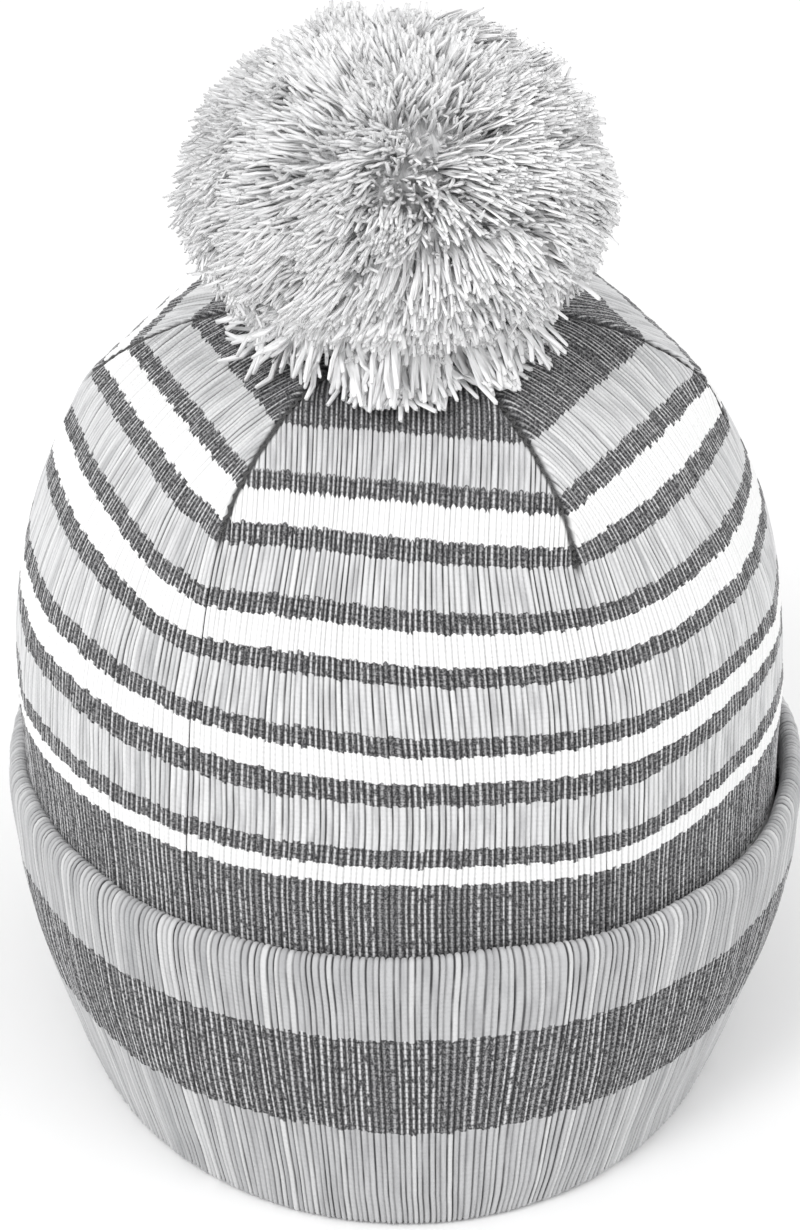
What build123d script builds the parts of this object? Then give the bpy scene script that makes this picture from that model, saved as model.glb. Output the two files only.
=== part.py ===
"""Pom pom beanie: striped ribbed knit hat with a double turned-up cuff and a yarn pom on a tie.

Frame: millimetres, z up, the wearer faces -Y, the rim rests on z = 0.
A cross-section is an oval given by its half-width, its front and its back; seams sit at SEAM_ANGLES.
"""

import os
from math import atan2, cos, degrees, hypot, radians, sin

from build123d import *

os.makedirs("parts", exist_ok=True)

# knit layers
LAYER = 2.8            # cuff outer layer
HEM_LAYER = 2.4        # hidden turned-in layer of the cuff
BODY_LAYER = 2.6       # single layer of the crown and of the part inside the cuff
LAYER_GAP = 0.4        # air between neighbouring layers
FACET = 6.0            # spacing of the sections a surface is run through
CUFF_HEIGHT = 80.0
FOLD = 2.8             # thickness of the bottom fold and of the lip
HEM_BOTTOM = 16.0      # free edge of the turned-in layer
HEM_STITCH_R = 1.1

# crown
SEAM_ANGLES = (-148.0, -90.0, -32.0, 32.0, 90.0, 148.0)
SEAM_NAMES = ("back_left", "left", "front_left", "front_right", "right", "back_right")
SEAM_START_Z = 184.0   # lower end of each dart seam
CORNER_SCALE = 1.03    # how far a panel corner stands out from the oval
APEX_Y = 5.5
APEX_HOLE_R = 3.6
THREAD_R = 1.2

# pom
POM_R = 59.0
POM_MID_Z = 248.0
POM_TOP_Z = 294.0
POM_UNDER_Z = 225.0
POM_LOWER_H = 36.0     # half-height of the lower half before it is cut flat
TIE_R = 1.3
TIE_BULB_R = 2.4
TIE_BULB_Z = 223.6
KNOT_R = 4.2
KNOT_Z = 208.5
BINDING_R = 11.0
BINDING_YARN_R = 3.0
BINDING_Z = 243.0

# care label
LABEL_W = 24.0
LABEL_L = 42.0
LABEL_T = 0.6
LABEL_TOP_Z = 104.0
LABEL_WALL_GAP = 2.6   # from the inner knit face to the middle of the label

CENTRE_Y = -2.75       # middle of the hat's depth as laid out below; save() moves it to y = 0

# outer face of the cuff: z, half-width, front, back
CUFF = [
    (2.8, 90.4, -113.4, 104.7),
    (10.0, 93.8, -113.1, 104.8),
    (20.0, 98.0, -112.6, 104.9),
    (30.0, 101.9, -111.7, 105.0),
    (40.0, 105.1, -110.5, 105.1),
    (50.0, 107.5, -108.7, 105.4),
    (60.0, 109.0, -106.6, 105.9),
    (70.0, 110.0, -104.2, 106.5),
    (77.0, 110.5, -102.3, 107.0),
]
# outer face of the knit body: z, half-width, front, back, how six-sided the section is
BODY = [
    (3.2, 84.6, -107.3, 98.7, 0.0),
    (10.0, 87.8, -107.1, 98.8, 0.0),
    (20.0, 92.0, -106.6, 98.9, 0.0),
    (30.0, 95.9, -105.6, 99.0, 0.0),
    (40.0, 99.1, -104.4, 99.1, 0.0),
    (50.0, 101.5, -102.6, 99.4, 0.0),
    (60.0, 103.0, -100.4, 99.9, 0.0),
    (70.0, 104.0, -98.0, 100.5, 0.0),
    (80.0, 104.4, -95.7, 101.0, 0.0),
    (105.0, 105.4, -95.3, 104.8, 0.0),
    (135.0, 103.2, -92.4, 108.0, 0.0),
    (160.0, 95.6, -88.0, 106.2, 0.1),
    (180.0, 86.0, -83.8, 99.5, 0.5),
    (192.0, 78.6, -79.5, 92.5, 0.8),
    (201.0, 66.0, -66.0, 79.0, 0.9),
    (208.5, 48.5, -47.5, 60.5, 0.9),
    (214.0, 28.0, -29.0, 41.0, 0.7),
    (217.6, 15.0, -13.0, 25.0, 0.3),
    (219.2, 6.0, -1.5, 12.5, 0.0),
]


def oval_point(width, front, back, angle, six=0.0):
    """Point of a section at an angle from the front; `six` pulls it towards the chord between seams."""
    mid, depth = (front + back) / 2, (back - front) / 2
    at = lambda deg, k: (k * width * sin(radians(deg)), mid - k * depth * cos(radians(deg)))
    x, y = at(angle, 1.0)
    if six:
        lo = max(a for a in (-212.0,) + SEAM_ANGLES if a <= angle)
        hi = min(a for a in SEAM_ANGLES + (212.0,) if a > angle)
        f = (angle - lo) / (hi - lo)
        (x0, y0), (x1, y1) = at(lo, CORNER_SCALE), at(hi, CORNER_SCALE)
        x, y = x + six * (x0 + f * (x1 - x0) - x), y + six * (y0 + f * (y1 - y0) - y)
    return x, y


def section(station):
    """Closed spline through six points of every panel."""
    z, width, front, back, *six = station
    edges = SEAM_ANGLES + (212.0,)
    angles = [a + (b - a) * k / 6 for a, b in zip(edges, edges[1:]) for k in range(6)]
    wrapped = [a - 360.0 if a > 180.0 else a for a in angles]
    pts = [(*oval_point(width, front, back, a, *six), z) for a in wrapped]
    return Wire([Edge.make_spline([Vector(*p) for p in pts], periodic=True)])


def skin(stations):
    """Solid that runs straight from each station to the next."""
    return Solid.make_loft([section(s) for s in stations], ruled=True)


def smoothed(stations):
    """Stations with more placed between them on a Hermite curve, about FACET apart."""
    run = [0.0]
    for p, q in zip(stations, stations[1:]):
        run.append(run[-1] + hypot(q[0] - p[0], q[1] - p[1]))
    last = len(stations) - 1

    def slope(i):
        a, b = max(i - 1, 0), min(i + 1, last)
        return [(q - p) / (run[b] - run[a]) for p, q in zip(stations[a], stations[b])]

    out = [stations[0]]
    for i in range(last):
        length = run[i + 1] - run[i]
        steps = max(2, round(length / FACET))
        rows = list(zip(stations[i], stations[i + 1], slope(i), slope(i + 1)))
        for k in range(1, steps + 1):
            t = k / steps
            u = 1 - t
            out.append(tuple(p * u * u * (1 + 2 * t) + q * t * t * (1 + 2 * u)
                             + length * t * u * (m * u - w * t) for p, q, m, w in rows))
    return out


def inset(stations, depth):
    """The same stations moved inwards along the surface normal."""
    size = [(s[1] + (s[3] - s[2]) / 2) / 2 for s in stations]
    moved = []
    for i, (z, width, front, back, *six) in enumerate(stations):
        a, b = max(i - 1, 0), min(i + 1, len(stations) - 1)
        dr, dz = size[b] - size[a], stations[b][0] - stations[a][0]
        n = hypot(dr, dz)
        inward, rise = depth * dz / n, depth * dr / n
        moved.append((z + rise, width - inward, front + inward, back - inward, *six))
    return moved


def shifted(station, z, depth):
    """A station copied to another height and narrowed on every side."""
    return (z, station[1] - depth, station[2] + depth, station[3] - depth, *station[4:])


def between(stations, z):
    """Dimensions of a surface at a height, read linearly between stations."""
    for lo, hi in zip(stations, stations[1:]):
        if lo[0] <= z <= hi[0]:
            f = (z - lo[0]) / (hi[0] - lo[0])
            return tuple(p + f * (q - p) for p, q in zip(lo, hi))
    return stations[0] if z < stations[0][0] else stations[-1]


def make_knit_body():
    """Single knit layer from the bottom fold to the gathered hole at the apex."""
    inner = inset(BODY_FACE, BODY_LAYER)
    inner = [shifted(inner[0], BODY_FACE[0][0] - 2.0, 0.4)] + inner[1:]
    hole = Pos(0, APEX_Y, 215) * Cylinder(APEX_HOLE_R, 20)
    return skin(BODY_FACE) - skin(inner) - hole


def make_cuff_outer():
    """Outer cuff layer with the bottom fold under the body and the rolled lip at the top."""
    foot, lip = CUFF_FACE[0], CUFF_FACE[-1]
    shell = [shifted(foot, 0.0, 2.2), shifted(foot, 1.0, 0.6)] + CUFF_FACE
    shell += [shifted(lip, CUFF_HEIGHT - 1.2, 0.7), shifted(lip, CUFF_HEIGHT, 2.3)]
    room = inset(CUFF_FACE, LAYER)
    room = [shifted(foot, FOLD, LAYER)] + room[1:-1] + [shifted(lip, CUFF_HEIGHT - FOLD, LAYER)]
    wall = LAYER + HEM_LAYER + 2 * LAYER_GAP
    opening = [shifted(foot, -1.0, wall + BODY_LAYER - 0.6), shifted(foot, 1.5, wall + BODY_LAYER),
               shifted(foot, 5.0, wall + BODY_LAYER)]
    throat = [shifted(lip, 74.0, wall - LAYER_GAP), shifted(lip, 78.4, wall - LAYER_GAP),
              shifted(lip, 81.0, wall - LAYER_GAP - 1.6)]
    return skin(shell) - skin(room) - skin(opening) - skin(throat)


def make_cuff_hem():
    """Hidden layer that turns in at the lip and runs down between the body and the outer layer."""
    face = inset(CUFF_FACE, LAYER + LAYER_GAP)
    top = CUFF_HEIGHT - FOLD - LAYER_GAP
    outer = [(HEM_BOTTOM, *between(face, HEM_BOTTOM)[1:])]
    outer += [s for s in face if HEM_BOTTOM + 1.0 < s[0] < top - 1.0]
    outer += [shifted(CUFF_FACE[-1], top, LAYER + LAYER_GAP)]
    back = [shifted(s, s[0], HEM_LAYER) for s in outer]
    back = [shifted(back[0], HEM_BOTTOM - 1, 0.4)] + back[1:-1] + [shifted(back[-1], top + 1, 0.0)]
    return skin(outer) - skin(back)


def ring_thread(station, radius):
    """Thread that runs once round a section."""
    path = section(station)
    start = path.position_at(0)
    profile = Plane(origin=start, z_dir=path.tangent_at(0)) * Circle(radius)
    return sweep(profile, path=path)


def make_hem_stitch():
    """Overcast yarn in the corner between the free edge of the hem and the outer cuff layer."""
    z = HEM_BOTTOM - HEM_STITCH_R + 0.1
    face = inset(CUFF_FACE, LAYER + HEM_STITCH_R - 0.1)
    return ring_thread((z, *between(face, z)[1:]), HEM_STITCH_R)


def seam_path(angle):
    """Line of a dart seam just inside the inner knit face."""
    face = inset(BODY_FACE, BODY_LAYER + THREAD_R - 0.2)
    pts = [between(face, SEAM_START_Z)] + [s for s in face if s[0] > SEAM_START_Z + 2.0 and s[1] > 11.0]
    return [(*oval_point(s[1], s[2], s[3], angle, s[4]), s[0]) for s in pts]


def make_crown_seam(angle):
    """Overlock ridge that closes one dart on the inside of the crown."""
    line = Edge.make_spline([Vector(*p) for p in seam_path(angle)])
    start = Plane(origin=line @ 0, z_dir=line % 0)
    return sweep(start * Circle(THREAD_R), path=Wire([line]))


def make_gather_thread():
    """Thread drawn tight round the apex hole, lying against the inner knit face."""
    return Pos(0, APEX_Y, 214.9) * Torus(7.6, THREAD_R)


def make_cuff_tack(side):
    """Short thread bar that holds all cuff layers together at one side."""
    z = 70.0
    outer = between(CUFF_FACE, z)[1]
    length = LAYER + HEM_LAYER + BODY_LAYER + 2 * LAYER_GAP + 1.2
    bar = Pos(side * (outer - length / 2 + 0.6), 2.6, z) * Rot(0, 90, 0) * Cylinder(0.8, length)
    return bar


def make_pom_yarn():
    """Trimmed yarn ball with a flat underside and a cup for the tie."""
    low_r = POM_R * (1 - ((POM_MID_Z - POM_UNDER_Z) / POM_LOWER_H) ** 2) ** 0.5
    upper = [(POM_R * sin(radians(a)), POM_MID_Z + (POM_TOP_Z - POM_MID_Z) * cos(radians(a)))
             for a in range(0, 91, 15)]
    lower = []
    for k in range(1, 5):
        z = POM_MID_Z - (POM_MID_Z - POM_UNDER_Z) * k / 4
        lower.append((POM_R * (1 - ((POM_MID_Z - z) / POM_LOWER_H) ** 2) ** 0.5, z))
    side = Edge.make_spline([Vector(r, 0, z) for r, z in upper + lower])
    base = Edge.make_line(Vector(low_r, 0, POM_UNDER_Z), Vector(0, 0, POM_UNDER_Z))
    axis = Edge.make_line(Vector(0, 0, POM_UNDER_Z), Vector(0, 0, POM_TOP_Z))
    ball = revolve(Face(Wire([side, base, axis])), axis=Axis.Z)
    ball = Pos(0, APEX_Y, 0) * ball
    cup = Pos(0, APEX_Y, TIE_BULB_Z) * Sphere(TIE_BULB_R + 0.6)
    room = Pos(0, APEX_Y, BINDING_Z) * Torus(BINDING_R, BINDING_YARN_R - 0.05)
    return ball - cup - room


def make_pom_binding():
    """Yarn wound round the middle of the bundle, buried in the pom."""
    return Pos(0, APEX_Y, BINDING_Z) * Torus(BINDING_R, BINDING_YARN_R)


def make_pom_tie():
    """Yarn tail through the apex hole, ending in a soft bulb under the pom."""
    top, low = TIE_BULB_Z, KNOT_Z
    tail = Pos(0, APEX_Y, (top + low) / 2) * Cylinder(TIE_R, top - low)
    return tail + Pos(0, APEX_Y, top) * Sphere(TIE_BULB_R)


def make_pom_knot():
    """Knot that stops the tail inside the crown, with two cut ends."""
    knot = Pos(0, APEX_Y, KNOT_Z) * Sphere(KNOT_R)
    for side in (-1, 1):
        knot += Pos(side * 3.4, APEX_Y, KNOT_Z - 7.0) * Rot(0, side * -18, 0) * Cylinder(TIE_R, 12)
    hole = Pos(0, APEX_Y, KNOT_Z + 5.0) * Cylinder(TIE_R - 0.05, 10.1)
    return knot - hole


def label_edges():
    """Y of the top and the bottom edge of the care label, which lies along the back wall."""
    wall = inset(BODY_FACE, BODY_LAYER)
    return [between(wall, z)[3] - LABEL_WALL_GAP for z in (LABEL_TOP_Z, LABEL_TOP_Z - LABEL_L)]


def make_care_label():
    """Blank woven label that hangs from its sewn top edge."""
    top, low = label_edges()
    tilt = degrees(atan2(top - low, LABEL_L))
    slab = Box(LABEL_W, LABEL_T, hypot(top - low, LABEL_L))
    return Pos(0, (top + low) / 2, LABEL_TOP_Z - LABEL_L / 2) * Rot(-tilt, 0, 0) * slab


def make_label_stitch():
    """Bar of stitches that sews the top edge of the label to the back of the body."""
    z = LABEL_TOP_Z + 1.5
    y = label_edges()[0]
    reach = LABEL_WALL_GAP + 0.8
    bar = Pos(0, y, z) * Box(LABEL_W, 1.0, 1.6)
    for x in (-9.0, 0.0, 9.0):
        bar += Pos(x, y + reach / 2, z) * Box(1.4, reach, 1.2)
    return bar


def save(name, shape):
    """Write one sub-part, moved so that the middle of the hat's depth lies on the origin."""
    export_step(Pos(0, -CENTRE_Y, 0) * shape, f"parts/{name}.step")


CUFF_FACE = smoothed(CUFF)
BODY_FACE = smoothed(BODY)

save("knit_body", make_knit_body())
save("cuff_outer", make_cuff_outer())
save("cuff_hem", make_cuff_hem())
save("hem_stitch", make_hem_stitch())
for seam, seam_angle in zip(SEAM_NAMES, SEAM_ANGLES):
    save(f"crown_seam_{seam}", make_crown_seam(seam_angle))
save("crown_gather_thread", make_gather_thread())
save("cuff_tack_left", make_cuff_tack(-1))
save("cuff_tack_right", make_cuff_tack(1))
save("pom_yarn", make_pom_yarn())
save("pom_binding", make_pom_binding())
save("pom_tie", make_pom_tie())
save("pom_knot", make_pom_knot())
save("care_label", make_care_label())
save("label_stitch", make_label_stitch())
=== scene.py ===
"""Pom pom beanie: ribbed knit with stripes, double turned-up cuff, six-dart crown and a yarn pom."""

import math

import bpy
import numpy as np
from mathutils import Matrix, Vector


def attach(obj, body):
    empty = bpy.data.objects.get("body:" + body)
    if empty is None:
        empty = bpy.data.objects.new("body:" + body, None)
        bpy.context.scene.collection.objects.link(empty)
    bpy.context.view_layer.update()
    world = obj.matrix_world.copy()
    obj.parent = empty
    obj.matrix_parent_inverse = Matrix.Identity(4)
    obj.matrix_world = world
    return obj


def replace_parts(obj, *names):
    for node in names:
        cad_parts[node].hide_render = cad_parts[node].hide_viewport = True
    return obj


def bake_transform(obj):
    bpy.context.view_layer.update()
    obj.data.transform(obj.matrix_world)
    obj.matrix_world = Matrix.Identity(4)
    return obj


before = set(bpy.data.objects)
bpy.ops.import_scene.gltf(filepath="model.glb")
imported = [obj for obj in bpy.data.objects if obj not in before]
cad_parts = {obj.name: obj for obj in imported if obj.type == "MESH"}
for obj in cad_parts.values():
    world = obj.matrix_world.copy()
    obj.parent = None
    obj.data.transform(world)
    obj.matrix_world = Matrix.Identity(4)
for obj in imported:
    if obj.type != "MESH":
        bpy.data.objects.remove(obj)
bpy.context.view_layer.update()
rng = np.random.default_rng(7)
MM = 0.001

# the knit surface, in millimetres of the row frame: height, half-width, front, back, how six-sided
SHIFT_Y = 2.75        # middle of the hat, fore and aft
BODY = np.array([
    (3.2, 84.6, -108.8, 98.7, 0), (10, 87.8, -108.6, 98.8, 0), (20, 92, -107.9, 98.9, 0),
    (30, 95.9, -106.4, 99, 0), (40, 99.1, -104.8, 99.1, 0), (50, 101.5, -102.6, 99.4, 0),
    (60, 103, -100.4, 99.9, 0), (70, 104, -98, 100.5, 0), (80, 104.4, -95.7, 101, 0),
    (105, 105.4, -95.3, 104.8, 0), (135, 103.2, -92.4, 108, 0), (160, 95.6, -88, 106.2, .1),
    (180, 86.8, -83.8, 99.5, .5), (192, 80.2, -79.5, 92.5, .85), (201, 68.5, -66, 79, 1.0),
    (208.5, 51, -47.5, 60.5, 1.0), (214, 28, -29, 41, .8), (217.6, 15, -13, 25, .4),
    (219.2, 6, -1.5, 12.5, 0)], float)
CUFF = np.array([
    (2.8, 90.6, -117.0, 104.7), (10, 93.9, -116.6, 104.8), (20, 98.1, -115.3, 104.9),
    (30, 102, -113.6, 105), (40, 105.3, -111.8, 105.1), (50, 107.7, -109.4, 105.4),
    (60, 109.2, -107, 105.9), (70, 110.2, -104.5, 106.5), (77, 110.7, -102.4, 107)], float)

WALES = 68            # ribs in each of the six crown panels
STEPS = 4             # mesh columns across a rib
COURSE = 1.5          # height of a stitch
RIB = 0.85            # relief of a rib
DART_START = 184.0    # course at which the darts begin
OVAL_TURN = 2.31      # degrees by which the ribs spread in front and behind, and close up at the sides
CROWN_LEAN = 3.0      # how far the top of the hat leans to one side
CORNER_REACH = 1.03   # how far the corners of the six-sided crown stand out past the oval
LINING_GAP = 2.3      # from the outer face to the lining side
THREAD_RADIUS = .34   # of the overlock thread
LABEL_WIDTH, TAPE = 24, .36     # width and thickness of the care label


# ---------------------------------------------------------------- helpers
def hermite(table, facet=1.0):
    """The table with rows added between its rows on a smooth curve."""
    run = np.r_[0, np.cumsum(np.hypot(np.diff(table[:, 0]), np.diff(table[:, 1])))]
    n = len(table)
    a, b = np.maximum(np.arange(n) - 1, 0), np.minimum(np.arange(n) + 1, n - 1)
    slope = (table[b] - table[a]) / (run[b] - run[a])[:, None]
    out = [table[:1]]
    for i in range(n - 1):
        length = run[i + 1] - run[i]
        t = (np.arange(1, max(2, round(length / facet)) + 1) / max(2, round(length / facet)))[:, None]
        u = 1 - t
        out.append(table[i] * u * u * (1 + 2 * t) + table[i + 1] * t * t * (1 + 2 * u)
                   + length * t * u * (slope[i] * u - slope[i + 1] * t))
    return np.concatenate(out)


def smoothstep(x, lo, hi):
    t = np.clip((x - lo) / (hi - lo), 0, 1)
    return t * t * (3 - 2 * t)


def ring_noise(phi, cells, y, seed):
    """Smooth noise, about -1 to 1, that closes on itself around the hat."""
    table = np.random.default_rng(seed).uniform(-1, 1, (cells, 64))
    x = phi / 360 * cells + 0 * y
    y = y + 0 * x
    xi, yi = np.floor(x).astype(int), np.floor(y).astype(int)
    fx, fy = x - xi, y - yi
    fx, fy = fx * fx * (3 - 2 * fx), fy * fy * (3 - 2 * fy)
    at = lambda i, j: table[i % cells, j % 64]
    return ((at(xi, yi) * (1 - fx) + at(xi + 1, yi) * fx) * (1 - fy)
            + (at(xi, yi + 1) * (1 - fx) + at(xi + 1, yi + 1) * fx) * fy)


def mesh_object(name, points, faces, material, body, floats=None):
    """A smooth mesh from millimetre points and arrays of faces; floats are per-point attributes."""
    points = np.asarray(points, np.float32) * MM
    groups = [np.asarray(f, np.int32) for f in (faces if isinstance(faces, list) else [faces])]
    sizes = np.concatenate([np.full(len(g), g.shape[1]) for g in groups])
    me = bpy.data.meshes.new(name)
    me.vertices.add(len(points))
    me.vertices.foreach_set("co", points.ravel())
    me.loops.add(int(sizes.sum()))
    me.loops.foreach_set("vertex_index", np.concatenate([g.ravel() for g in groups]))
    me.polygons.add(len(sizes))
    me.polygons.foreach_set("loop_start", np.r_[0, np.cumsum(sizes)[:-1]].astype(np.int32))
    for key, values in (floats or {}).items():
        me.attributes.new(key, "FLOAT", "POINT").data.foreach_set("value", np.asarray(values, np.float32))
    me.update(calc_edges=True)
    me.validate()
    me.polygons.foreach_set("use_smooth", np.ones(len(me.polygons), bool))
    me.materials.append(material)
    obj = bpy.data.objects.new(name, me)
    bpy.context.scene.collection.objects.link(obj)
    if body:
        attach(obj, body)
    return obj


def grid_faces(rows, cols, keep=None):
    """Quads of a rows x cols grid of points, without those whose `keep` flag is off."""
    i = np.arange(rows * cols).reshape(rows, cols)
    q = np.stack([i[:-1, :-1], i[:-1, 1:], i[1:, 1:], i[1:, :-1]], -1)
    return q[keep] if keep is not None else q.reshape(-1, 4)


# ---------------------------------------------------------------- knit surface
body_rows = hermite(BODY)
body_size = (body_rows[:, 1] + (body_rows[:, 3] - body_rows[:, 2]) / 2) / 2
body_run = np.r_[0, np.cumsum(np.hypot(np.diff(body_size), np.diff(body_rows[:, 0])))]
cuff_rows = hermite(CUFF)


def perimeter(width, front, back):
    """Length around each oval section."""
    t = np.linspace(0, 2 * np.pi, 181)
    x, y = width[:, None] * np.sin(t), (back - front)[:, None] / 2 * np.cos(t)
    return np.hypot(np.diff(x, axis=1), np.diff(y, axis=1)).sum(1)


body_round = perimeter(body_rows[:, 1], body_rows[:, 2], body_rows[:, 3])


def oval_angle(phi):
    """Angle on the oval section at a material angle, both in degrees."""
    return phi + OVAL_TURN * np.sin(np.radians(2 * phi))


def body_point(phi, run):
    """Point of the outer knit face at a material angle (degrees, 0 in front) and a course height (mm)."""
    look = lambda k: np.interp(run, body_run, body_rows[:, k])
    z, width, front, back, six = (look(k) for k in range(5))
    mid, depth = (front + back) / 2 + SHIFT_Y, (back - front) / 2
    t = oval_angle(phi)
    panel = np.floor((phi + 30) / 60)
    lo, hi = oval_angle(panel * 60 - 30), oval_angle(panel * 60 + 30)
    f = (t - lo) / (hi - lo)
    at = lambda deg, k: (k * width * np.sin(np.radians(deg)), -k * depth * np.cos(np.radians(deg)))
    (x, y), (x0, y0), (x1, y1) = at(t, 1.0), at(lo, CORNER_REACH), at(hi, CORNER_REACH)
    x, y = x + six * (x0 + f * (x1 - x0) - x), y + six * (y0 + f * (y1 - y0) - y)
    # the hat leans a little to one side
    x = x + 1.0 - 3.0 * smoothstep(z, 10, 110) - 1.0 * smoothstep(z, 120, 200)
    return np.stack([x, mid + y, z], -1)


def body_normal(phi, run):
    """Outward direction of the knit face, from points a little to each side within the same panel."""
    lo = np.floor((phi + 30) / 60) * 60 - 30
    near, far = np.clip(phi - .3, lo + 1e-4, lo + 59.9), np.clip(phi + .3, lo + .1, lo + 60 - 1e-4)
    across = body_point(far, run) - body_point(near, run)
    along = body_point(phi, np.minimum(run + .5, body_run[-1])) - body_point(phi, run - .5)
    n = np.cross(across, along)
    return n / np.maximum(np.linalg.norm(n, axis=-1, keepdims=True), 1e-9)


RIB_COUNT = 6 * WALES
rib_lift = np.random.default_rng(3).uniform(.72, 1.15, RIB_COUNT)
valley_shift = np.random.default_rng(4).uniform(-.2, .2, RIB_COUNT)


def rib_relief(wale, course):
    """Height of the ribs, 0 in a valley and about 1 on a crest, with stitches along them."""
    index = np.floor(wale).astype(int)
    crest = np.sqrt(np.clip(np.sin(np.pi * (wale - index)), 0, 1))
    stitch = .5 + .5 * np.cos(2 * np.pi * course / COURSE)
    return crest * rib_lift[index % RIB_COUNT] * (.95 + .05 * stitch)


def uneven(wale):
    """Sideways shift of the ribs, in ribs, so that no two are quite as wide."""
    index = np.floor(wale).astype(int)
    x = wale - index
    return (1 - x) * valley_shift[index % RIB_COUNT] + x * valley_shift[(index + 1) % RIB_COUNT]


def tilt(course, x):
    """How far a course hangs below its level: down to one side, and a little lower beside the front."""
    slope = .085 * smoothstep(course, 95, 185) * x * (1 - smoothstep(course, 235, 262))
    right = 4.2 * np.exp(-((x - 55) / 24) ** 2) * (1 - .7 * smoothstep(course, 95, 170))
    left = 4.2 * np.exp(-((x + 58) / 20) ** 2) * smoothstep(course, 130, 158)
    return slope + (right + left) * (1 - smoothstep(course, 172, 205))


def knit_panel(k, courses, inner):
    """One of the six panels, from the bottom of the tube to the apex, as a grid of wales and courses."""
    wales = np.linspace(-WALES / 2, WALES / 2, WALES * STEPS + 1)
    half = WALES / 2 * np.minimum(1, np.interp(courses, body_run, body_round)
                                  / np.interp(DART_START, body_run, body_round))
    w, c = np.meshgrid(wales, courses)
    h = half[:, None] * np.ones_like(w)
    over = np.abs(w) >= h - 1e-6
    w = np.clip(w, -h, h)
    wale = w + WALES / 2 + WALES * k
    placed = np.clip(w + uneven(wale), -h, h)
    phi = 60 * k + 30 * placed / h * (1 - 1e-6)
    drift = 1 - smoothstep(c, 150, 184) * (placed / h) ** 2
    phi = phi + 1.3 * drift * ring_noise(phi, 14, c / 55, 21) * smoothstep(c, 84, 110)
    x = body_point(phi, c)[..., 0]
    run = np.clip(c - tilt(c, x), 0.6, body_run[-1] - .4)
    base, n = body_point(phi, run), body_normal(phi, run)
    edge = (h - np.abs(w)) * 1.5
    dart = smoothstep(c, DART_START - 8, DART_START + 3)
    groove = dart * np.exp(-(edge / 1.5) ** 2)
    lump = ring_noise(phi, 40, c / 22, 5) * .7 + ring_noise(phi, 120, c / 9, 6) * .25
    lump *= smoothstep(c, 82, 110)
    if inner:
        pts = base - n * (LINING_GAP + .35 * rib_relief(wale + .5, c) - (1.1 * groove) - lump)[..., None]
    else:
        relief = rib_relief(wale, c) * RIB * (1 - .55 * groove) - 1.2 * groove
        pts = base + n * (relief - .45 + lump)[..., None]
    flat = over[:-1, :-1] & over[:-1, 1:] & over[1:, 1:] & over[1:, :-1]
    quads = grid_faces(*w.shape, keep=~flat)
    if inner:
        quads = quads[:, ::-1]
    used, index = np.unique(quads, return_inverse=True)
    floats = {"wale": wale, "course": c, "seam": groove}
    return (pts.reshape(-1, 3)[used], index.reshape(quads.shape),
            {key: v.reshape(-1)[used] for key, v in floats.items()})


def cuff_base(phi, z):
    """Point and outward direction (level) of the outer face of the cuff."""
    look = lambda k: np.interp(z, cuff_rows[:, 0], cuff_rows[:, k])
    width, front, back = look(1), look(2), look(3)
    mid, depth = (front + back) / 2 + SHIFT_Y, (back - front) / 2
    t = np.radians(oval_angle(phi))
    x, y = width * np.sin(t), -depth * np.cos(t)
    n = np.stack([x / width ** 2, y / depth ** 2, 0 * x], -1)
    return np.stack([x, y + mid, z], -1), n / np.linalg.norm(n, axis=-1, keepdims=True)


def cuff_profile():
    """Path of the cuff fabric as (depth from the outer face, height), evenly spaced."""
    knots = np.array([
        (8.3, 14), (8.4, 9), (8.5, 5), (8.3, 2.6), (7.4, .9), (6.0, .15), (4.4, 0), (2.6, .1), (1.1, .6),
        (.3, 1.7), (.05, 3.6), (0, 8), (0, 20), (0, 35), (0, 50), (0, 64), (0, 72), (.1, 75.4),
        (.7, 77.9), (1.9, 79.5), (3.3, 80), (4.6, 79.3), (5.4, 77.7), (5.65, 75.5), (5.7, 72)], float)
    run = np.r_[0, np.cumsum(np.hypot(*np.diff(knots, axis=0).T))]
    fine = np.linspace(0, run[-1], 900)
    k = np.ones(9) / 9
    curve = np.stack([np.interp(fine, run, knots[:, j]) for j in (0, 1)], -1)
    padded = np.concatenate([np.repeat(curve[:1], 4, 0), curve, np.repeat(curve[-1:], 4, 0)])
    curve = np.stack([np.convolve(padded[:, j], k, "valid") for j in (0, 1)], -1)
    run = np.r_[0, np.cumsum(np.hypot(*np.diff(curve, axis=0).T))]
    even = np.arange(0, run[-1], COURSE / 2)
    return np.stack([np.interp(even, run, curve[:, j]) for j in (0, 1)], -1), even


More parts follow.
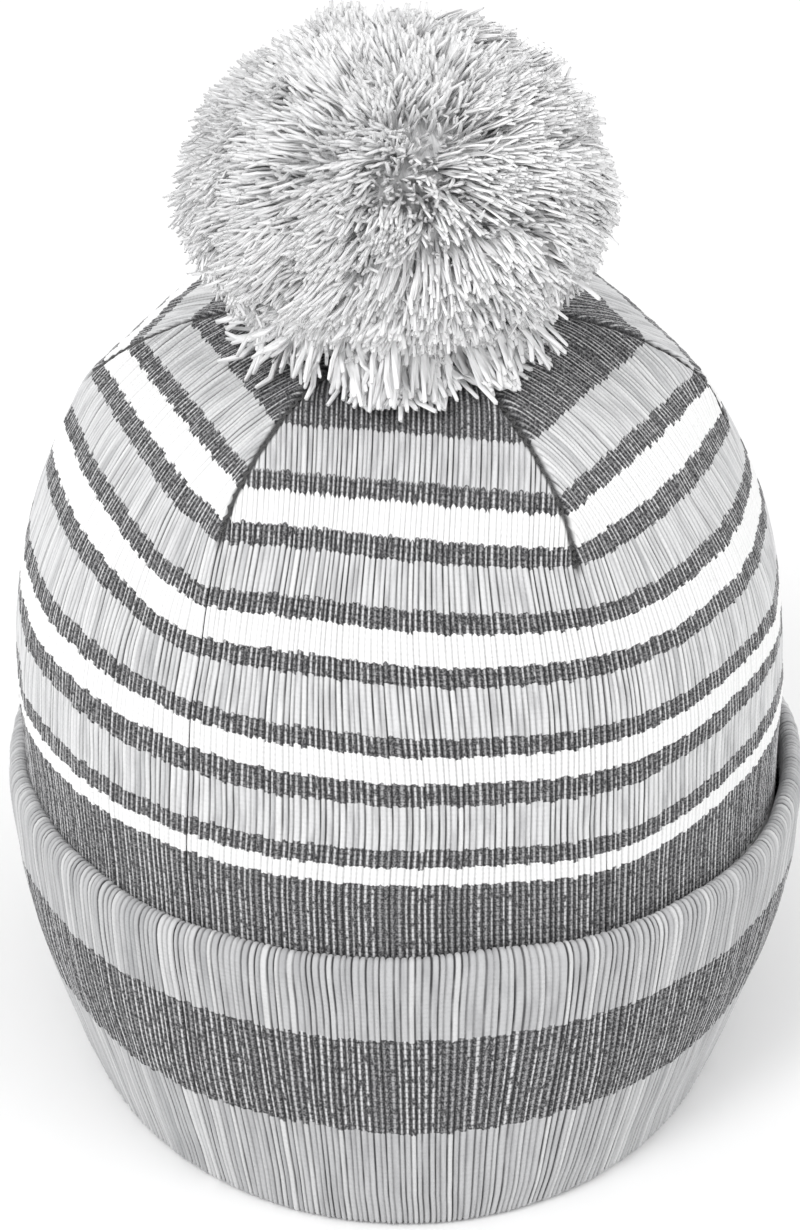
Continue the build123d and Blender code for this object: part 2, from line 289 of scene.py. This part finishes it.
def cuff_sector(k):
    """One of the six sectors of the turned-up cuff, from its hem around the rim to the lip."""
    path, run = cuff_profile()
    wales = np.linspace(-WALES / 2, WALES / 2, WALES * STEPS + 1)
    w, row = np.meshgrid(wales, np.arange(len(path)))
    depth, z = path[row, 0], path[row, 1]
    wale = w + WALES / 2 + WALES * k
    phi = 60 * k + 30 * np.clip(w + uneven(wale), -WALES / 2, WALES / 2) / (WALES / 2)
    drift = 1.9 * ring_noise(phi, 12, z / 42, 22) + .5 * ring_noise(phi, 40, z / 30, 23)
    phi = phi + drift * smoothstep(z, 0, 12)
    along = np.gradient(path, axis=0)
    along /= np.linalg.norm(along, axis=1, keepdims=True)
    out_d, out_z = -along[:, 1][row], along[:, 0][row]      # outward side of the fabric: (depth, height)
    base, n = cuff_base(phi, z)
    relief = rib_relief(wale, run[row]) * RIB - .45
    top = smoothstep(z, 55, 80)
    wave = ring_noise(phi, 26, 0 * phi, 11) * 1.3 + ring_noise(phi, 72, 0 * phi, 12) * .35
    lump = ring_noise(phi, 36, z / 26, 13) * .6 + ring_noise(phi, 90, z / 11, 14) * .22
    lump *= smoothstep(z, 2, 14) * (1 - .5 * top)
    side = np.where(np.arange(len(path)) < np.argmin(path[:, 1]), 0.0, 1.0)[row]
    pts = base - n * (depth + out_d * relief - lump * side)[..., None]
    front = .5 + .5 * np.cos(np.radians(phi))
    dip = front ** 2 * (3.4 + 5.4 * np.sin(np.radians(phi)) ** 2)
    pts[..., 2] = np.maximum(pts[..., 2] + out_z * relief + (wave - dip) * top, 0)
    floats = {"wale": wale.ravel(), "course": (z * side).ravel(), "seam": 0 * z.ravel()}
    return pts.reshape(-1, 3), grid_faces(*w.shape), floats


# ---------------------------------------------------------------- pom
POM = np.array([-4.8, 5.5, 248.0])                      # its middle
POM_SIZE = np.array([56.0, 55.0, 46.5])                 # its half sizes
LOW = .80                                               # the lower half is flatter than the upper one
CORE_SHARE = .79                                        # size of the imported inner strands
WHORLS = np.array([(.08, -.866, .495), (.18, -.462, .87), (-.25, .8, .55), (.75, .55, .2), (-.8, .45, .1)])
WHORLS /= np.linalg.norm(WHORLS, axis=1, keepdims=True)
RINGS = np.array([0, .25, .46, .64, .79, .9, 1.0])      # rings of a strand, from its root to its tip
CUT, WHORL_COUNTS = 13500, (1700, 1700, 300, 300, 300)  # strands all around, and more of them at each whorl
TUFTS, LOOSE, SHORT = 520, 600, 8600                    # tufts, loose long strands, fillers
HANG = np.array([.12, -.80, -.46])                      # where the loose strands hang


def crown_height(x, y):
    """Height of the crown under a point, by finding the section that passes through it."""
    rows = body_rows[body_rows[:, 0] > 150][::3]
    x = x + CROWN_LEAN
    best = np.full(x.shape, -1e3)
    before = None
    for z, width, front, back, six in rows:
        mid, depth = (front + back) / 2 + SHIFT_Y, (back - front) / 2
        g = (x / width) ** 2 + ((y - mid) / depth) ** 2
        if before is not None:
            cross = (before[1] < 1) & (g >= 1)
            f = (1 - before[1]) / np.maximum(g - before[1], 1e-9)
            best = np.where(cross, before[0] + f * (z - before[0]), best)
        before = (z, g)
    return np.where(before[1] < 1, rows[-1][0], best)


def unit(v):
    return v / np.maximum(np.linalg.norm(v, axis=-1, keepdims=True), 1e-9)


def comb(d):
    """Which way, and how much, the strands at directions d are brushed: away from the whorls and down."""
    flow = np.zeros_like(d)
    for whorl in WHORLS:
        angle = np.arccos(np.clip(d @ whorl, -1, 1))
        away = (d - whorl) - ((d - whorl) * d).sum(1, keepdims=True) * d
        flow += unit(away) * (smoothstep(angle, 0, .6) * np.exp(-(angle / 1.1) ** 2))[:, None]
    down = np.array([0, 0, -1.0]) - d * -d[:, 2:]
    return flow + .30 * down


def off_crown(path, gap):
    """Strands pushed out along the crown where they would sink into it, and kept a gap above it."""
    for share in (.6, .6, 0):
        sunk = np.maximum(crown_height(path[..., 0], path[..., 1]) + gap - path[..., 2], 0)
        out = path[..., :2] - POM[:2]
        out /= np.maximum(np.linalg.norm(out, axis=-1, keepdims=True), 1e-6)
        path[..., :2] += out * np.minimum(sunk * share, 4)[..., None]
        path[..., 2] += sunk * (1 - share)
    return path


def pom_strands():
    """Centre lines of the strands, a tone and a width for each: cut ends, shorter fillers, loose ones."""
    r = np.random.default_rng(21)
    d = [r.normal(size=(CUT, 3))]
    for whorl, many in zip(WHORLS, WHORL_COUNTS):
        d.append(unit(whorl + r.normal(size=(many, 3)) * .36))
    d += [r.normal(size=(SHORT, 3)), HANG + r.normal(size=(LOOSE, 3)) * (.36, .12, .17)]
    d = unit(np.concatenate(d))
    count = len(d)
    loose = np.arange(count) >= count - LOOSE
    short = (np.arange(count) >= count - LOOSE - SHORT) & ~loose
    tufts = unit(r.normal(size=(TUFTS, 3)))
    own = np.argmax(d @ tufts.T, 1)
    brush = r.uniform(.25, .62, TUFTS)[own][:, None] * r.uniform(.7, 1.2, (count, 1)) * ~short[:, None]
    stray = r.normal(size=(TUFTS, 3)) * .34

    def bent(v, amount):
        return unit(v + (comb(v) + stray[own]) * amount)

    tip = bent(d, brush) + r.normal(size=d.shape) * .05
    pull = r.uniform(.15, .75, (count, 1)) * np.where(short, .3, 1)[:, None]
    tip = unit(tip * (1 - pull) + bent(tufts[own], brush) * pull)
    length = r.normal(1, .016, count) * r.normal(1, .02, TUFTS)[own]
    length *= np.where(loose, r.uniform(.95, 1.12, count), np.where(short, r.uniform(.89, .98, count), 1))
    g = RINGS ** 1.4
    path = unit(d[:, None] * (1 - g[None, :, None]) + tip[:, None] * g[None, :, None])
    path = path * ((.42 + .58 * RINGS) * length[:, None])[..., None] * POM_SIZE
    path[..., 2] *= np.where((path[..., 2] < 0) & ~loose[:, None], LOW, 1)
    low = smoothstep(-path[:, -1, 2] / POM_SIZE[2], -.1, .8)
    path[..., 2] -= (low * r.uniform(0, 3, count) + loose * r.uniform(0, 6, count))[:, None] * g ** 2
    turn = np.linspace(0, 1, len(RINGS))[None, :, None] * r.uniform(3, 8, (count, 1, 1))
    turn = turn + r.uniform(0, 6, (count, 1, 1))
    path += POM + r.normal(size=(count, 1, 3)) * np.sin(turn) * g[None, :, None]
    path = off_crown(path, r.uniform(1.2, 5.0, (count, 1)))
    tone = r.uniform(0, 1, count) * .5 + r.uniform(0, 1, TUFTS)[own] * .5
    thick = 1.05 + .4 * smoothstep(d @ unit(np.array([.1, -.8, -.5])), .7, .95)
    return path, tone, r.uniform(.85, 1.2, count) * np.where(loose, 1.6, thick)


def tubes(paths, radius, sides=3):
    """Tube mesh along each path; the seam column is doubled so that `around` runs 0 to 1."""
    n, m = paths.shape[:2]
    tangent = unit(np.gradient(paths, axis=1))
    helper = np.where(np.abs(tangent[:, :1, 2:]) < .8, [[[0, 0, 1.0]]], [[[1.0, 0, 0]]])
    a = unit(np.cross(tangent, helper))
    b = np.cross(tangent, a)
    ang = np.linspace(0, 2 * np.pi, sides + 1)
    cos, sin = (f(ang)[None, None, :, None] for f in (np.cos, np.sin))
    ring = a[:, :, None] * cos + b[:, :, None] * sin
    pts = paths[:, :, None] + ring * radius[:, :, None, None]
    tips = paths[:, -1] + tangent[:, -1] * radius[:, -1:] * .8
    cols = sides + 1
    i = np.arange(n * m * cols).reshape(n, m, cols)
    q = np.stack([i[:, :-1, :-1], i[:, :-1, 1:], i[:, 1:, 1:], i[:, 1:, :-1]], -1).reshape(-1, 4)
    around = np.broadcast_to(np.linspace(0, 1, cols), (n, m, cols))
    pts = np.concatenate([pts.reshape(-1, 3), tips])
    t = n * m * cols + np.arange(n)
    caps = np.stack([np.stack([i[:, -1, j], i[:, -1, j + 1], t], -1) for j in range(sides)], 1)
    return pts, q, caps.reshape(-1, 3), around.reshape(-1)


def crown_thread(k):
    """Overlock thread that zigzags over the dart at the left edge of panel k, up to the gathered apex."""
    run = np.arange(DART_START - 1, body_run[-1] - 3, .75)
    sway = np.array([-.75, 0, .75, 0])[np.arange(len(run)) % 4]
    reach = np.interp(run, body_run, body_round) / 360
    path = []
    for side in (-1, 1):
        phi = 60 * k - 30 + side * (.15 + (1 + side * sway) / reach)
        x = body_point(phi, run)[:, 0]
        at = np.clip(run - tilt(run, x), 1, body_run[-1] - .4)
        path.append(body_point(phi, at) + body_normal(phi, at) * -.75)
    pair = np.stack([path[0] * (1 - f) + path[1] * f for f in (.35, .65)])
    pts, quads, caps, _ = tubes(pair, np.full(pair.shape[:2], THREAD_RADIUS))
    return mesh_object(f"crown_thread_{k + 1}", pts, [quads, caps], thread, "hat")


def care_label():
    """A woven tape label, sewn by its top edge to the inside of the back, that hangs with a slight curl."""
    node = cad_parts["care_label"]
    co = np.array([node.matrix_world @ v.co for v in node.data.vertices]) / MM
    top, low = co[co[:, 2] > co[:, 2].max() - 1.5].mean(0), co[co[:, 2] < co[:, 2].min() + 1.5].mean(0)
    a, f = np.meshgrid(np.linspace(-1, 1, 25), np.linspace(0, 1, 43))
    mid = top + (low - top) * f[..., None]
    curl = .9 * np.sin(np.pi * f) * (1 - a * a) + .8 * f ** 3 * a * a
    sheets = [mid + np.stack([LABEL_WIDTH / 2 * a, -curl + off, 0 * a], -1) for off in (-TAPE / 2, TAPE / 2)]
    n = a.size
    quads = grid_faces(*a.shape)
    i = np.arange(n).reshape(a.shape)
    ring = np.r_[i[0], i[1:, -1], i[-1, -2::-1], i[-2:0:-1, 0]]
    rim = np.stack([ring, np.roll(ring, -1), np.roll(ring, -1) + n, ring + n], -1)
    obj = mesh_object("care_label_tape", np.concatenate([p.reshape(-1, 3) for p in sheets]),
                      np.concatenate([quads, quads[:, ::-1] + n, rim]), tape, "label")
    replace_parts(obj, "care_label")
    return obj


# ---------------------------------------------------------------- materials
class Graph:
    """Short names for the shader nodes used below."""

    def __init__(self, name, roughness=.9, sheen=.25):
        self.material = bpy.data.materials.new(name)
        self.material.use_nodes = True
        self.tree = self.material.node_tree
        self.bsdf = self.tree.nodes["Principled BSDF"]
        self.bsdf.inputs["Roughness"].default_value = roughness
        self.bsdf.inputs["Sheen Weight"].default_value = sheen
        self.bsdf.inputs["Sheen Roughness"].default_value = .6
        self.bsdf.inputs["Specular IOR Level"].default_value = .2

    def put(self, socket, value):
        if isinstance(value, bpy.types.NodeSocket):
            self.tree.links.new(value, socket)
        else:
            socket.default_value = value

    def node(self, kind, **settings):
        n = self.tree.nodes.new(kind)
        for key, value in settings.items():
            setattr(n, key, value)
        return n

    def attr(self, name):
        return self.node("ShaderNodeAttribute", attribute_name=name).outputs["Fac"]

    def math(self, op, a, b=0.0):
        n = self.node("ShaderNodeMath", operation=op)
        for socket, value in zip(n.inputs, (a, b)):
            self.put(socket, value)
        return n.outputs[0]

    def step(self, x, lo, hi, to_lo=0.0, to_hi=1.0):
        n = self.node("ShaderNodeMapRange", interpolation_type="SMOOTHSTEP")
        keys = ("Value", "From Min", "From Max", "To Min", "To Max")
        for key, value in zip(keys, (x, lo, hi, to_lo, to_hi)):
            self.put(n.inputs[key], value)
        return n.outputs["Result"]

    def mix(self, factor, a, b):
        n = self.node("ShaderNodeMix", data_type="RGBA")
        for socket, value in zip((n.inputs[0], n.inputs[6], n.inputs[7]), (factor, a, b)):
            self.put(socket, value)
        return n.outputs[2]

    def vector(self, x=0.0, y=0.0, z=0.0):
        n = self.node("ShaderNodeCombineXYZ")
        for socket, value in zip(n.inputs, (x, y, z)):
            self.put(socket, value)
        return n.outputs[0]

    def noise(self, vector, scale=1.0, detail=2.0, rough=.5):
        n = self.node("ShaderNodeTexNoise")
        for key, value in (("Vector", vector), ("Scale", scale), ("Detail", detail), ("Roughness", rough)):
            self.put(n.inputs[key], value)
        return n.outputs["Fac"]

    def random(self, x):
        n = self.node("ShaderNodeTexWhiteNoise", noise_dimensions="1D")
        self.put(n.inputs["W"], x)
        return n.outputs["Value"]

    def place(self):
        return self.node("ShaderNodeTexCoord").outputs["Object"]

    def bands(self, factor, stops):
        n = self.node("ShaderNodeValToRGB")
        n.color_ramp.interpolation = "CONSTANT"
        items = n.color_ramp.elements
        while len(items) < len(stops):
            items.new(1.0)
        for item, (at, grey) in zip(items, stops):
            item.position, item.color = at, (*grey, 1)
        self.put(n.inputs[0], factor)
        return n.outputs[0]

    def bump(self, height, distance):
        n = self.node("ShaderNodeBump")
        for key, value in (("Height", height), ("Distance", distance), ("Strength", 1.0)):
            self.put(n.inputs[key], value)
        self.put(self.bsdf.inputs["Normal"], n.outputs[0])

    def color(self, value):
        self.put(self.bsdf.inputs["Base Color"], value)
        return self.material


# greys of the yarn, and where each stripe begins on the fabric
DARK, LIGHT, WHITE, CUFF_LIGHT = (.075, .075, .079), (.74, .742, .75), (.94, .94, .94), (.53, .532, .54)
BODY_BANDS = [
    (0, LIGHT), (27, DARK), (54, LIGHT), (69, DARK), (93.0, WHITE), (98.9, DARK), (104.8, LIGHT),
    (118.0, DARK), (124.0, WHITE), (131.7, DARK), (137.8, LIGHT), (152.0, DARK), (157.4, WHITE),
    (165.3, DARK), (171.0, LIGHT), (183.2, DARK), (188.9, WHITE), (197.7, DARK), (203.2, LIGHT),
    (218.2, DARK)]
CUFF_BANDS = [(0, CUFF_LIGHT), (29, DARK), (54.8, CUFF_LIGHT)]
RUN_MAX = 280.0       # more than the length of the fabric


def knit_material(name, bands):
    """Ribbed knit: toothed stripes, painted highlights on the rib crests and painted shade in the rib
    valleys, dart creases and stitch gaps, flecks in the dark bands.
    """
    g = Graph(name)
    mul, add, sub = (lambda a, b, op=op: g.math(op, a, b) for op in ("MULTIPLY", "ADD", "SUBTRACT"))
    black, crest_highlight_grey = (.020, .020, .022, 1), (.66, .66, .67, 1)
    wale, course, seam = g.attr("wale"), g.attr("course"), g.attr("seam")
    off_crest = mul(g.math("ABSOLUTE", sub(g.math("FRACT", wale), .5)), 2.0)
    rib = g.random(g.math("FLOOR", wale))
    rib_2 = g.random(add(g.math("FLOOR", wale), .71))
    valley_shade_random = g.random(add(g.math("FLOOR", add(wale, .5)), .37))
    ragged = mul(sub(g.noise(g.vector(mul(wale, .9), mul(course, .8)), 1.0, 2.0), .5), 1.3)
    ragged = add(add(ragged, mul(sub(rib, .5), 1.1)), mul(off_crest, .55))
    base = g.bands(g.math("DIVIDE", add(course, ragged), RUN_MAX), [(p / RUN_MAX, c) for p, c in bands])
    grey = g.node("ShaderNodeRGBToBW")
    g.put(grey.inputs[0], base)
    dark, white = g.step(grey.outputs[0], .4, .2), g.step(grey.outputs[0], .84, .9)
    light = sub(sub(1.0, dark), white)
    # dark bands: marled yarn, with a painted highlight line along most rib crests
    fleck = g.noise(g.vector(mul(wale, 2.6), mul(course, 1.5)), 1.0, 3.0, .75)
    color = g.mix(mul(g.step(fleck, .50, .58), mul(dark, .75)), base, (.34, .34, .345, 1))
    color = g.mix(mul(g.step(fleck, .47, .41), dark), color, black)
    broken = g.step(g.noise(g.vector(mul(wale, .9), mul(course, .35), 3.0), 1.0, 3.0), .36, .5)
    # painted highlight: a pale line along most rib crests in the dark bands
    crest = mul(g.step(off_crest, .46, .14), mul(broken, g.step(rib_2, .0, .6, .25, 1.0)))
    color = g.mix(mul(crest, dark), color, crest_highlight_grey)
    # light bands: ribs of their own tone, and streaks along them
    streak = g.noise(g.vector(mul(wale, .8), mul(course, .06), 7.0), 1.0, 2.0)
    color = g.mix(mul(light, g.step(streak, .42, .70, 0, .5)), color, (.34, .34, .35, 1))
    color = g.mix(mul(light, g.step(rib, .55, 1.0, 0, .38)), color, (.95, .95, .95, 1))
    color = g.mix(mul(light, g.step(rib_2, .8, 1.0, 0, .30)), color, (.30, .31, .32, 1))
    # painted shade in the valleys between the ribs, its strength random for each valley and fading along it
    edge = g.step(off_crest, .50, .88)
    depth = g.step(valley_shade_random, .05, .8, .30, 1.0)
    along_valley = g.vector(mul(g.math("FLOOR", add(wale, .5)), 3.1), mul(course, .07), 1.0)
    valley_shade_fade = g.step(g.noise(along_valley, 1.0, 2.0), .25, .6, .45, 1)
    share = add(add(mul(light, .94), mul(dark, .90)), mul(white, .22))
    color = g.mix(mul(mul(edge, mul(depth, valley_shade_fade)), share), color, black)
    # painted shade in the crease of each dart, where the groove dips the surface
    color = g.mix(mul(g.step(seam, .15, .75), .9), color, black)
    # painted shade in the gaps between stitches of the dark bands, where the stitch bump is low
    stitch = mul(add(g.math("SINE", mul(add(course, mul(off_crest, .55)), 2 * math.pi / COURSE)), 1.0), .5)
    color = g.mix(mul(g.step(stitch, .3, .0), mul(dark, .45)), color, black)
    fibre = g.noise(g.vector(mul(wale, 6.0), mul(course, 2.2)), 1.0, 3.0)
    g.bump(add(mul(stitch, .4), fibre), .00025)
    return g.color(color)


def yarn_material(name, tip, root):
    """Cut pom yarn: paler at the tips and darker toward the roots as painted shade inside the pom, its own
    tone on each strand, fine streaks of plies along it with painted shade between the plies.
    """
    g = Graph(name, .8, .4)
    along, around, tone = g.attr("along"), g.attr("around"), g.attr("tone")
    # painted shade: the strands darken toward their roots, deep inside the pom
    color = g.mix(g.step(along, .10, .8), root, tip)
    color = g.mix(g.step(tone, .45, 1.0, 0, .22), color, (.58, .58, .59, 1))
    plies = g.math("ADD", g.math("MULTIPLY", around, 2.0), g.math("MULTIPLY", along, 5.0))
    twist = g.math("SINE", g.math("MULTIPLY", plies, 2 * math.pi))
    # painted shade in the grooves between the plies, where the twist bump is low
    color = g.mix(g.step(twist, -.5, -1.0, 0, .06), color, (.20, .20, .20, 1))
    g.bump(twist, .00012)
    return g.color(color)


def cord_material(name, color, dark):
    """Twisted thread or yarn on a carried-over piece, with painted shade in the grooves of the twist."""
    g = Graph(name, .8, .1)
    n = g.node("ShaderNodeTexWave", wave_type="BANDS", bands_direction="DIAGONAL")
    for key, value in (("Vector", g.place()), ("Scale", 900.0), ("Distortion", 1.5), ("Detail", 1.0)):
        g.put(n.inputs[key], value)
    g.bump(n.outputs["Fac"], .0003)
    # painted shade: the dark colour fills the low bands of the twist bump
    return g.color(g.mix(n.outputs["Fac"], dark, color))


def tape_material(name):
    """Woven label tape, with painted shade where the weave bump is low."""
    g = Graph(name, .6, .1)
    weave = g.noise(g.place(), 2600.0, 1.0)
    g.bump(weave, .0001)
    # painted shade: darker where the weave bump is low
    return g.color(g.mix(g.step(weave, .35, .65), (.62, .62, .60, 1), (.86, .86, .84, 1)))


# ---------------------------------------------------------------- build
striped = knit_material("striped_rib_knit", BODY_BANDS)
cuffed = knit_material("cuff_rib_knit", CUFF_BANDS)
pom_yarn = yarn_material("pom_yarn", (.955, .955, .96, 1), (.88, .88, .885, 1))
tail = cord_material("yarn_tail", (.62, .62, .63, 1), (.3, .3, .3, 1))
thread = cord_material("sewing_thread", (.2, .2, .2, 1), (.06, .06, .06, 1))

SIDES = ("front", "front_right", "back_right", "back", "back_left", "front_left")
DARTS = ("front_left", "front_right", "right", "back_right", "back_left", "left")
rows_out = np.arange(60, body_run[-1] - .2, COURSE / 2)
rows_in = np.arange(4, body_run[-1] - .2, COURSE)
for k, side in enumerate(SIDES):
    pts, quads, floats = knit_panel(k, rows_out, False)
    panel = mesh_object(f"knit_panel_{side}", pts, quads, striped, "hat", floats)
    pts, quads, floats = knit_panel(k, rows_in, True)
    inside = mesh_object(f"knit_inside_{side}", pts, quads, striped, "hat", floats)
    pts, quads, floats = cuff_sector(k)
    cuff = mesh_object(f"cuff_{side}", pts, quads, cuffed, "hat", floats)
    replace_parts(crown_thread(k), f"crown_seam_{DARTS[k]}")
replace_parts(bpy.data.objects["knit_panel_front"], "knit_body")
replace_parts(bpy.data.objects["cuff_front"], "cuff_outer", "cuff_hem")

SKIRT_GAP, SKIRT_TOP = 16, 232      # strands whose tips end this near the crown, and below this height
HINGE_Y = 8.25                      # where the tie leaves the crown, fore and aft
paths, tone, width = pom_strands()
radius = np.interp(RINGS, [0, .5, .9, 1], [.40, .52, .54, .36])[None, :] * width[:, None]
low = paths[:, -1, 2] - crown_height(paths[:, -1, 0], paths[:, -1, 1]) < SKIRT_GAP
low &= paths[:, -1, 2] < SKIRT_TOP
upper, skirt = rng.permutation(np.flatnonzero(~low)), np.flatnonzero(low)
for name, pick in ([(f"pom_strands_{i + 1}", upper[i::5]) for i in range(5)]
                   + [(f"pom_skirt_{i + 1}", skirt[i::2]) for i in range(2)]):
    pts, quads, caps, around = tubes(paths[pick], radius[pick])
    n, cols = len(pick), around.size // len(pick)
    along = np.repeat(np.broadcast_to(RINGS, (n, len(RINGS))).ravel(), cols // len(RINGS))
    obj = mesh_object(name, pts, [quads, caps], pom_yarn, None if "skirt" in name else "pom",
                      {"along": np.r_[along, np.ones(n)], "around": np.r_[around, np.zeros(n)],
                       "tone": np.r_[np.repeat(tone[pick], cols), tone[pick]]})
    if "skirt" in name:      # these strands lie on the crown, so they follow the pom's lean only in part
        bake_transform(obj)

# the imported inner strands, as one rough form that clears the crown when the pom leans
u, v = np.meshgrid(np.linspace(0, 2 * np.pi, 241), np.linspace(0, np.pi, 121))
rough = ring_noise(np.degrees(u), 60, np.degrees(v) / 6, 31)
rough = rough + ring_noise(np.degrees(u), 120, np.degrees(v) / 3, 32)
core = np.stack([np.sin(v) * np.cos(u), np.sin(v) * np.sin(u), np.cos(v)], -1)
core[..., 2] *= np.where(core[..., 2] < 0, LOW, 1)
core = POM + core * POM_SIZE * (CORE_SHARE + .022 * rough * np.sin(v))[..., None]
away = np.hypot(core[..., 0], core[..., 1] - HINGE_Y)
core[..., 2] = np.maximum(core[..., 2], crown_height(core[..., 0], core[..., 1]) + 1.5 + .30 * away)
floats = {"along": .6 + 0 * u.ravel(), "around": (u * 12).ravel(), "tone": .5 + .25 * rough.ravel()}
obj = mesh_object("pom_core", core.reshape(-1, 3), grid_faces(*u.shape)[:, ::-1], pom_yarn, "pom", floats)
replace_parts(obj, "pom_yarn")

for name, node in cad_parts.items():
    if not node.hide_render:
        node.data.materials.clear()
        node.data.materials.append(tail if name.startswith("pom") else thread)
tape = tape_material("label_tape")
care_label()


# ---------------------------------------------------------------- stage, light, camera
def area_light(name, at, size, power, target=(0, 0, .12)):
    """A soft round lamp turned to the target."""
    data = bpy.data.lights.new(name, "AREA")
    data.shape, data.size, data.energy = "DISK", size, power
    obj = bpy.data.objects.new(name, data)
    obj.location = at
    obj.rotation_euler = (Vector(target) - Vector(at)).to_track_quat("-Z", "Y").to_euler()
    bpy.context.scene.collection.objects.link(obj)


floor_mesh = bpy.data.meshes.new("floor")
floor_mesh.from_pydata([(-4, -4, 0), (4, -4, 0), (4, 4, 0), (-4, 4, 0)], [], [(0, 1, 2, 3)])
floor = bpy.data.objects.new("floor", floor_mesh)
bpy.context.scene.collection.objects.link(floor)
ground = bpy.data.materials.new("floor")
ground.use_nodes = True
ground.node_tree.nodes["Principled BSDF"].inputs["Base Color"].default_value = (.93, .93, .93, 1)
ground.node_tree.nodes["Principled BSDF"].inputs["Roughness"].default_value = .9
floor_mesh.materials.append(ground)

world = bpy.data.worlds.new("studio")
world.use_nodes = True
world.node_tree.nodes["Background"].inputs["Color"].default_value = (1, 1, 1, 1)
world.node_tree.nodes["Background"].inputs["Strength"].default_value = 1.0
bpy.context.scene.world = world
area_light("key", (-.9, -1.1, 1.7), 1.0, 14)
area_light("fill", (1.4, -.6, 1.2), 1.4, 4)
bpy.context.scene.view_settings.view_transform = "Standard"

azimuth, elevation, roll, distance = math.radians(.41), math.radians(32.21), math.radians(.78), 1.3729
aim = Vector((-.0022, SHIFT_Y * MM, .1198))
level = math.cos(elevation)
back = Vector((math.sin(azimuth) * level, -math.cos(azimuth) * level, math.sin(elevation)))
right = (-back).cross(Vector((0, 0, 1))).normalized()
up = right.cross(-back)
axis_x = math.cos(roll) * right + math.sin(roll) * up
axis_y = -math.sin(roll) * right + math.cos(roll) * up
camera = bpy.data.objects.new("camera", bpy.data.cameras.new("camera"))
turned = Matrix((axis_x, axis_y, back)).transposed().to_4x4()
camera.matrix_world = Matrix.Translation(aim + back * distance) @ turned
camera.data.lens, camera.data.sensor_width = 146.4, 36
camera.data.clip_start = .05
bpy.context.scene.collection.objects.link(camera)
bpy.context.scene.camera = camera

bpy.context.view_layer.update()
